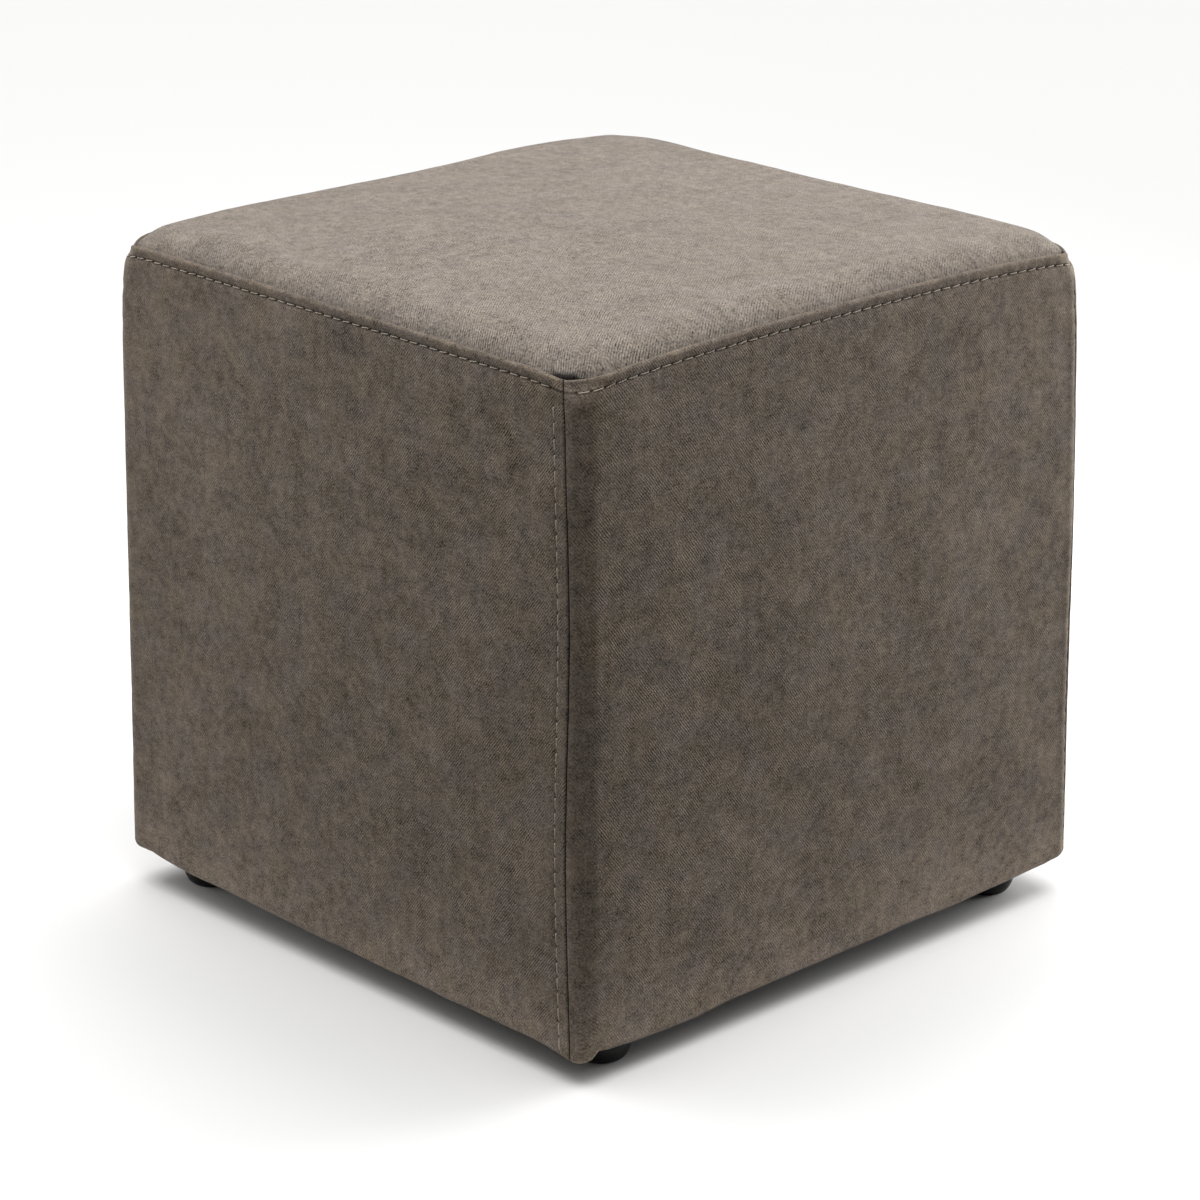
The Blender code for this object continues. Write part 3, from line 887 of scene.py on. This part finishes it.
def innerPoint(index, level, across, isTop):
    # on the panel's flat inner side, which every edge of the panel runs to
    wall = walls[index]
    half = wall["halfLength"] - sidePanel["thickness"]
    first = seamShift(walls[index - 1], level) + pouf["gap"] / 2.0 - half
    last = seamShift(wall, level) - pouf["gap"] / 2.0 + half
    run = first * (1.0 - across) + last * across
    climb = 1.0 if isTop else min(1.0, max(0.0, heightShare(level)))
    point = wall["along"] * run + wall["outward"] * (wall["halfDepth"] - sidePanel["thickness"])
    bottom = pouf["hemHeight"] + sidePanel["hemInside"]
    point[2] = bottom + (pouf["seamHeight"] - sidePanel["partingDrop"] - bottom) * climb
    return point


def stitchLine(index):
    # the fold's line of topstitching: level, depth, corner radius and both ends
    level = np.array(pouf["seamHeight"] + stitchRow[0] * mm)
    setIn, corner = stitchRow[1] * mm, stitchRow[2] * mm
    return (level, setIn, corner, *panelEnds(index, level, setIn, corner))


def makeSidePanel(index):
    wall = walls[index]
    rows = panelRows()
    rowLevel, share, setIn, corner = (rows[:, k][:, None] for k in range(4))
    foldStart, foldEnd = stitchLine(index)[3:]
    length = foldEnd - foldStart
    columns = panelColumns(length)
    nearest = np.abs(columns[:, None] - stitchHoles(length)[None, :]).min(axis=1)[None, :]
    start, end = panelEnds(index, rowLevel, setIn, corner)
    fromStart = np.stack([spreadColumns(columns, length, rowLength) for rowLength in (end - start)[:, 0]])
    fromEnd = (end - start) - fromStart
    distance = start + fromStart
    level = rowLevel + np.zeros_like(distance)
    drop = pouf["seamHeight"] - level
    relief = seamRelief(index, level, drop, fromStart, fromEnd)
    relief += clothRelief(index, level, drop, fromStart, fromEnd)
    relief += foldRelief(index, distance, drop, fromStart, fromEnd, nearest, setIn)
    outer, _ = panelSurface(index, distance, level, share, setIn, corner, relief)
    paintedShade = paintedPanelShade(index, rows, distance, drop, fromStart, fromEnd, nearest)
    travelled = np.hypot(np.diff(rows[:, 0]), np.diff(rows[:, 2]))
    along = np.concatenate([[0.0], np.cumsum(travelled)])[:, None] + np.zeros_like(distance)
    weaveAcross = wall["grain"] * distance + index * sidePanel["weaveStep"]
    weave = np.stack([weaveAcross, along, np.zeros_like(along)], axis=-1)
    rowCount, columnCount = distance.shape
    faces = gridFaces(rowCount, columnCount)
    rim = gridRim(rowCount, columnCount)
    inner = []
    for r, c in rim:
        across = fromStart[r, c] / (fromStart[r, c] + fromEnd[r, c])
        inner.append(innerPoint(index, rows[r, 0], across, r == rowCount - 1))
    verts = np.concatenate([outer.reshape(-1, 3), np.array(inner)])
    total, count = rowCount * columnCount, len(rim)
    for k in range(count):
        (r0, c0), (r1, c1) = rim[k], rim[(k + 1) % count]
        a, b = r0 * columnCount + c0, r1 * columnCount + c1
        faces.append((b, a, total + k, total + (k + 1) % count))
    faces.append(tuple(total + k for k in range(count)))
    # painted shade, full on the panel's inner side
    attributes = [
        ("weave", np.pad(weave.reshape(-1, 3), [(0, count), (0, 0)])),
        ("paintedShade", np.pad(np.clip(paintedShade, 0.0, 1.0).ravel(), (0, count), constant_values=1.0)),
    ]
    panel = addPiece("side_cover_" + wall["name"], verts, faces, wall["cloth"], attributes=attributes)
    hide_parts("side_panel_" + wall["name"])


for index in range(4):
    makeSidePanel(index)
print("pouf: side panels")

# The top panel.
topPanel = {
    "roll": 11.1 * mm,
    "rollWidth": 21.8 * mm,
    "rollPower": 2.07,
    "footWidth": 4.0 * mm,
    "dome": 5.1 * mm,
    "setIn": 3.7 * mm,
    "sink": 1.2 * mm,
    "corner": 18.5 * mm,
    "cornerTurning": 22.0 * mm,
    "sideSteps": 92,
    "cornerSteps": 16,
    "middleSteps": 38,
    "middleRing": 6.0 * mm,
    "weaveStart": 7.0,
    "undersideSetIn": 18.0 * mm,
    "undersideDrop": 13.0 * mm,
    "waviness": 0.55 * mm,
    "waveLengths": (70.0 * mm, 200.0 * mm),
    "waveFade": 35.0 * mm,
    "fineWaviness": 0.12 * mm,
    "fineWaveLengths": (18.0 * mm, 45.0 * mm),
    "fineWaveFade": 10.0 * mm,
    "leanFade": 12.0 * mm,
    "rimShade": ((0.42, 1.5 * mm), (0.10, 9.0 * mm)),  # painted shade along the rim: how dark and how wide
    "slitLength": 8.5 * mm,
    "slitShift": (-3.0 * mm, 0.0),
    "slitWidth": 1.2 * mm,
    "slitWidthFade": 6.0 * mm,
    "slitDepth": 0.7 * mm,
    "slitDepthFade": 4.0 * mm,
    "slitTuck": 1.0 * mm,
    # painted shade in the slit: how dark and how wide
    "slitShade": (0.85, 1.3 * mm),
    "fill": 0.75,
}
# Where the padding under the top is a little fuller or flatter: place, height and width, in mm.
topSwells = [
    (-182.0, -175.0, -1.3, 26.0), (176.0, 184.0, -0.3, 14.0), (40.0, 182.0, -1.1, 60.0),
    (-145.0, 182.0, 1.6, 42.0), (-178.0, 178.0, -1.9, 26.0), (-182.0, 105.0, 1.5, 46.0),
    (-182.0, -8.0, -0.9, 40.0),
]
# Down behind the fold: how much further in and how far down, in mm.
topTuck = [(0.6, 2.6), (0.45, 1.4), (0.25, 0.5)]


def crownRoll(distance):
    return 1.0 - (1.0 - ramp(distance, topPanel["rollWidth"])) ** topPanel["rollPower"]


def crownHeight(x, y):
    t = topPanel
    halfX, halfY = pouf["halfWidth"] - t["setIn"], pouf["halfDepth"] - t["setIn"]
    pastX = np.abs(x) - (halfX - t["corner"])
    pastY = np.abs(y) - (halfY - t["corner"])
    outside = np.hypot(np.maximum(pastX, 0.0), np.maximum(pastY, 0.0))
    edge = np.maximum(0.0, t["corner"] - outside - np.minimum(np.maximum(pastX, pastY), 0.0))
    foot = 1.0 - (1.0 - np.minimum(1.0, edge / t["footWidth"])) ** 2
    roll = t["roll"] * crownRoll(halfX - np.abs(x)) * crownRoll(halfY - np.abs(y)) * foot
    dome = t["dome"] * (1.0 - (x / halfX) ** 2) * (1.0 - (y / halfY) ** 2)
    soft = t["waviness"] * ramp(edge, t["waveFade"]) * ripples(x, y, seeds["top"], *t["waveLengths"])
    fine = ripples(x, y, seeds["topFine"], *t["fineWaveLengths"])
    soft += t["fineWaviness"] * ramp(edge, t["fineWaveFade"]) * fine
    for atX, atY, height, width in topSwells:
        soft += height * mm * bell(np.hypot(x - atX * mm, y - atY * mm), width * mm) * foot
    seam = pouf["seamHeight"] - t["sink"]
    return seam + cornerBlend(x, y, "lift") + foldRise(x, y) + roll + dome + soft


def topRim():
    # points around the top's edge, closer together in its corners, and how far the corners lean in there
    rim, leans = [], []
    turning = topPanel["cornerTurning"]
    for index, wall in enumerate(walls):
        reach = ringReach(wall, topPanel["setIn"], topPanel["corner"])
        straight = np.linspace(-reach + turning, reach - turning, topPanel["sideSteps"])
        arc = np.linspace(0.0, turning, topPanel["cornerSteps"])[:-1]
        distance = np.concatenate([-reach + arc, straight, (reach - arc)[::-1]])[:-1]
        rim.append(ringPoint(wall, distance, topPanel["setIn"], topPanel["corner"])[0])
        leans.append(cornerLean(index, distance, np.zeros_like(distance)))
    return np.concatenate(rim), np.concatenate(leans)


def makeTopPanel():
    rim, leans = topRim()
    count = len(rim)
    half = pouf["halfWidth"] - topPanel["setIn"]
    # the slit at the front corner, where the top is tucked away behind the fold
    slitAt = walls[0]["seamPlace"] + np.array([*topPanel["slitShift"], 0.0])
    away = np.hypot(rim[:, 0] - slitAt[0], rim[:, 1] - slitAt[1])
    slit = np.exp(-((away / topPanel["slitLength"]) ** 4))
    insets = np.array([0, 0.25, 0.5, 0.8, 1.1, 1.5, 2.0, 2.6, 3.3]) * mm
    insets = np.concatenate([insets, np.arange(4.1, 33.0, 1.2) * mm])
    inwards = np.linspace(insets[-1], half - topPanel["middleRing"], topPanel["middleSteps"])
    insets = np.concatenate([insets, inwards[1:]])
    slitDark, slitDarkWidth = topPanel["slitShade"]
    rings, paintedShades = [], []
    for inset in insets:
        pull = slit * topPanel["slitWidth"] * max(0.0, 1.0 - inset / topPanel["slitWidthFade"])
        pull = pull + leans * max(0.0, 1.0 - inset / topPanel["leanFade"])
        ring = rim * (1.0 - inset / half) * (1.0 - pull / half)[:, None]
        ring[:, 2] = crownHeight(ring[:, 0], ring[:, 1])
        ring[:, 2] -= slit * topPanel["slitDepth"] * max(0.0, 1.0 - inset / topPanel["slitDepthFade"])
        rings.append(ring)
        # painted shade along the rim and in the slit
        shade = sum(dark * bell(inset, width) for dark, width in topPanel["rimShade"])
        paintedShades.append(shade + slit * slitDark * bell(inset, slitDarkWidth))
    under = rings[0] * (1.0 - (topPanel["undersideSetIn"] - topPanel["setIn"]) / half)
    under[:, 2] = pouf["seamHeight"] - topPanel["undersideDrop"]
    layers = [under]
    for more, drop in topTuck:
        ring = rings[0] * (1.0 - more * mm / half)
        ring[:, 2] = rings[0][:, 2] - drop * mm - slit * topPanel["slitTuck"]
        layers.append(ring)
    # painted shade: full under the top and in its tuck behind the fold, then along the rim and in the
    # slit, none at the middle
    paintedShade = np.concatenate([np.ones(count * len(layers)), *paintedShades, np.zeros(1)])
    layers += rings
    middle = np.array([[0.0, 0.0, float(crownHeight(np.zeros(1), np.zeros(1))[0])]])
    verts = np.concatenate([*layers, middle])
    faces = []
    for k in range(len(layers) - 1):
        for c in range(count):
            a, b = k * count + c, k * count + (c + 1) % count
            faces.append((a, b, b + count, a + count))
    last = (len(layers) - 1) * count
    faces += [(last + c, last + (c + 1) % count, len(verts) - 1) for c in range(count)]
    faces.append(tuple(range(count - 1, -1, -1)))
    weave = np.stack([verts[:, 0] + topPanel["weaveStart"], verts[:, 1], np.zeros(len(verts))], axis=-1)
    attributes = [("weave", weave), ("paintedShade", np.clip(paintedShade, 0.0, 1.0))]
    panel = addPiece("top_cover", verts, faces, topCloth, attributes=attributes)
    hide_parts("top_panel")


makeTopPanel()
print("pouf: top panel")

# The topstitching.
thread = {
    "radius": 0.40 * mm,
    "sides": 8,
    "rings": 9,
    "thinning": 0.35,  # towards both ends of a stitch
    # painted shade at both ends of each stitch, where it dives into the cloth
    "endShade": 0.9,
    "standOff": 0.30 * mm,
    "dive": 0.75 * mm,
    "inset": 0.80 * mm,
    "tilt": 0.25 * mm,
    "tiltSpread": 0.5 * mm,
    "seamSink": 0.40 * mm,
    "seamSlip": 0.35 * mm,
    "seamSlipSpread": 0.3 * mm,
    "holeRadius": 0.72 * mm,
    "holeSides": 10,
    "holeLong": 1.25,
    "holeHigh": 0.8,
    "holeRise": 0.10 * mm,
    "holeSink": 0.30 * mm,
    "foldHoleDepth": 0.35 * mm,
    "seamHoleDepth": 0.30 * mm,
    "paleColour": (0.42, 0.355, 0.29),
    "clothColour": (0.47, 0.40, 0.325),
    "fibre": (1500.0, 2.0, 0.6),  # noises: waves a metre, detail and roughness
    "wear": (60.0, 2.0, 0.5),
    "unevenTone": 0.5,
    "paintedShadeDepth": 0.9,
    "bump": 0.0001,
    "roughness": 0.7,
    "gloss": 0.3,
    "sheen": 0.1,
}


def makeThread(name, colour):
    n = Nodes(name)
    place = n.objectPlace()
    fibre = n.uneven(place, *thread["fibre"])
    tone = n.math("MULTIPLY_ADD", fibre, thread["unevenTone"], 1.0)
    tone = n.math("MULTIPLY_ADD", n.uneven(place, *thread["wear"]), thread["unevenTone"], tone)
    # painted shade from a stored point attribute, at the stitches' ends and in the needle holes
    dark = n.math("MULTIPLY_ADD", n.stored("paintedShade"), -thread["paintedShadeDepth"], 1.0)
    return n.finish(
        Base_Color=n.toned(colour, n.math("MULTIPLY", tone, dark)),
        Normal=n.bump(fibre, thread["bump"]),
        Roughness=thread["roughness"],
        Specular_IOR_Level=thread["gloss"],
        Sheen_Weight=thread["sheen"],
    )


paleThread = makeThread("paleThread", thread["paleColour"])
clothThread = makeThread("clothThread", thread["clothColour"])


def addStitches(name, paths, holes, material):
    # each path is a stitch's line and the outward direction along it, and each hole is its place,
    # the outward direction and the seam's
    verts, faces, paintedShade = [], [], []
    sides, ring = thread["sides"], thread["holeSides"]
    angles = np.arange(sides) * 2.0 * math.pi / sides
    for line, outward in paths:
        along = np.gradient(line, axis=0)
        along /= np.linalg.norm(along, axis=1)[:, None]
        across = np.cross(along, outward)
        across /= np.linalg.norm(across, axis=1)[:, None]
        upward = np.cross(across, along)
        base = len(verts)
        span = np.linspace(-1.0, 1.0, len(line))
        radius = thread["radius"] * (1.0 - thread["thinning"] * span**6)
        for k in range(len(line)):
            for angle in angles:
                spoke = math.cos(angle) * across[k] + math.sin(angle) * upward[k]
                verts.append(line[k] + radius[k] * spoke)
            paintedShade += [thread["endShade"] if k in (0, len(line) - 1) else 0.0] * sides
        for k in range(len(line) - 1):
            for j in range(sides):
                a, b = base + k * sides + j, base + k * sides + (j + 1) % sides
                faces.append((a, b, b + sides, a + sides))
        faces.append(tuple(base + j for j in range(sides - 1, -1, -1)))
        faces.append(tuple(base + (len(line) - 1) * sides + j for j in range(sides)))
    # each needle hole is a small dark cup, coloured with painted shade at full strength
    for place, outward, along in holes:
        across = np.cross(along, outward)
        base = len(verts)
        for j in range(ring):
            angle = j * 2.0 * math.pi / ring
            long, high = thread["holeLong"] * math.cos(angle), thread["holeHigh"] * math.sin(angle)
            verts.append(place + thread["holeRadius"] * (long * along + high * across))
        verts.append(place + outward * thread["holeRise"])
        verts.append(place - outward * thread["holeSink"])
        paintedShade += [1.0] * (ring + 2)
        for j in range(ring):
            faces.append((base + j, base + (j + 1) % ring, base + ring))
            faces.append((base + (j + 1) % ring, base + j, base + ring + 1))
    addPiece(name, np.array(verts), faces, material, attributes=[("paintedShade", np.array(paintedShade))])


def stitchSpan():
    # shares along one stitch, closer together at its ends, and how high the thread stands there
    t = np.linspace(0.0, 1.0, thread["rings"])
    t = 0.5 - 0.5 * np.cos(math.pi * t)
    return t, thread["standOff"] - thread["dive"] * (2.0 * np.abs(t - 0.5)) ** 8


def stitchFoldLine(index):
    level, setIn, corner, start, end = stitchLine(index)
    holes = stitchHoles(end - start)
    dice = np.random.default_rng(seeds["foldStitches"] + index)
    t, height = stitchSpan()

    def surface(distance, levels, lift):
        lift = lift - cornerLean(index, distance, np.full_like(distance, -stitchRow[0] * mm))
        return panelSurface(index, distance, levels, 1.0, setIn, corner, lift)

    paths, marks = [], []
    for first, last in zip(holes, holes[1:]):
        near, far = first + thread["inset"], last - thread["inset"]
        tilt = (dice.random() - 0.5) * thread["tiltSpread"] + thread["tilt"]
        paths.append(surface(start + near + (far - near) * t, level + tilt * (t - 0.5) * 2.0, height))
    for hole in holes:
        place, normal = surface(np.array([start + hole]), level, -thread["foldHoleDepth"])
        marks.append((place[0], normal[0], np.cross(normal[0], (0.0, 0.0, 1.0))))
    addStitches("fold_stitches_" + walls[index]["name"], paths, marks, paleThread)


def stitchSeamLine(index):
    top = pouf["seamHeight"] - seamStrip["topDrop"]
    bottom = pouf["hemHeight"] + seamStrip["bottomRise"]
    levels = np.linspace(top, bottom, round((top - bottom) / seamStrip["pitch"]) + 1)
    bodyBottom = pouf["hemHeight"] + hemProfile[-1][0] * mm
    bodyTop = pouf["seamHeight"] + foldProfile[0][0] * mm
    dice = np.random.default_rng(seeds["seamStitches"] + index)
    t, height = stitchSpan()

    def surface(level, lift, slip=0.0):
        share = np.clip((level - bodyBottom) / (bodyTop - bodyBottom), 0.0, 1.0)
        corner = readTable(stripCorners, level - pouf["seamHeight"])
        flat = np.zeros_like(level)
        distance = panelEnds(index, level, flat, corner)[1] - seamStrip["width"] + slip
        lift = lift - cornerLean(index, distance, pouf["seamHeight"] - level)
        return panelSurface(index, distance, level, share, flat, corner, lift)

    paths = []
    for upper, lower in zip(levels, levels[1:]):
        level = (upper - thread["inset"]) + (lower - upper + 2.0 * thread["inset"]) * t
        slip = (dice.random() - 0.5) * thread["seamSlipSpread"] + thread["seamSlip"]
        paths.append(surface(level, height - thread["seamSink"], slip * (t - 0.5)))
    places, normals = surface(levels, np.full(len(levels), -thread["seamHoleDepth"]))
    marks = [(place, normal, np.array([0.0, 0.0, 1.0])) for place, normal in zip(places, normals)]
    addStitches("seam_stitches_" + walls[index]["name"], paths, marks, clothThread)


for index in range(4):
    stitchFoldLine(index)
    stitchSeamLine(index)
print("pouf: topstitching")

# The base panel and the glides. Noises are waves a metre, detail and roughness.
base = {
    "colour": (0.020, 0.020, 0.021),
    "roughness": 0.95,
    "gloss": 0.2,
    "bump": 0.0002,
    "fibre": (900.0, 3.0, 0.6),
    "fibreStretch": (1.0, 3.0, 1.0),
    "fibreTone": 0.9,
    "patch": (30.0, 2.0, 0.5),
    "patchTone": 0.5,
}
glide = {
    "colour": (0.004, 0.004, 0.0045),
    "gloss": 0.22,
    "bump": 0.00004,
    "pits": (1400.0, 2.0, 0.5),
    "scuffs": (220.0, 3.0, 0.6),
    "scuffStretch": (1.0, 1.0, 4.0),
    "roughnessRange": (0.4, 0.7, 0.34, 0.54),
    "toneRange": (0.35, 0.75, 0.85, 1.5),
    "sharpAngle": 50.0,
    "steps": 72,
    "places": {
        "front": (0.1736, -0.1625),
        "right": (0.1661, 0.1668),
        "back": (-0.1661, 0.1668),
        "left": (-0.1661, -0.1668),
    },
}
# Turned profile of a glide from its stem to its sole: radius and height, in mm.
glideProfile = [
    (0.0, 18.7), (10.5, 18.7), (10.5, 15.2), (16.6, 15.2), (17.3, 15.1), (17.75, 14.7), (18.0, 14.1),
    (18.0, 10.5), (17.9, 8.8), (17.55, 7.0), (17.05, 5.3), (16.3, 3.5), (15.5, 2.1), (14.7, 1.1),
    (13.9, 0.4), (12.95, 0.02), (12.3, 0.0), (11.6, 0.25), (6.0, 0.4), (0.0, 0.4),
]


def makeBaseCloth():
    n = Nodes("baseCloth")
    place = n.objectPlace()
    fibre = n.uneven(n.vector("MULTIPLY", place, base["fibreStretch"]), *base["fibre"])
    tone = n.math("MULTIPLY_ADD", n.uneven(place, *base["patch"]), base["patchTone"], 1.0)
    tone = n.math("MULTIPLY_ADD", fibre, base["fibreTone"], tone)
    return n.finish(
        Base_Color=n.mixColour(tone, (0.0, 0.0, 0.0), base["colour"]),
        Normal=n.bump(fibre, base["bump"]),
        Roughness=base["roughness"],
        Specular_IOR_Level=base["gloss"],
    )


def makeGlidePlastic():
    n = Nodes("glidePlastic")
    place = n.objectPlace()
    scuffs = n.noise(n.vector("MULTIPLY", place, glide["scuffStretch"]), *glide["scuffs"])
    return n.finish(
        Base_Color=n.toned(glide["colour"], n.remap(scuffs, *glide["toneRange"])),
        Normal=n.bump(n.noise(place, *glide["pits"]), glide["bump"]),
        Roughness=n.remap(scuffs, *glide["roughnessRange"]),
        Specular_IOR_Level=glide["gloss"],
    )


glidePlastic = makeGlidePlastic()


def makeGlide(name, x, y):
    steps = glide["steps"]
    verts, faces = [], []
    for radius, height in glideProfile[1:-1]:
        for step in range(steps):
            angle = step * 2.0 * math.pi / steps
            across, deep = radius * mm * math.cos(angle), radius * mm * math.sin(angle)
            verts.append((x + across, y + deep, height * mm))
    lastRing = len(glideProfile) - 3
    for ring in range(lastRing):
        for step in range(steps):
            a, b = ring * steps + step, ring * steps + (step + 1) % steps
            faces.append((a, b, b + steps, a + steps))
    for height, ring, turn in ((glideProfile[0][1], 0, 1), (glideProfile[-1][1], lastRing, -1)):
        verts.append((x, y, height * mm))
        for step in range(steps):
            a, b = ring * steps + step, ring * steps + (step + 1) % steps
            faces.append((b, a, len(verts) - 1)[::turn])
    piece = addPiece("glide_cap_" + name, np.array(verts), faces, glidePlastic)
    piece.data.set_sharp_from_angle(angle=math.radians(glide["sharpAngle"]))
    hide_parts("glide_" + name)


for name, place in glide["places"].items():
    makeGlide(name, *place)
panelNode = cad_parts["base_panel"]
panelNode.data.materials.clear()
panelNode.data.materials.append(makeBaseCloth())
print("pouf: base panel and glides")
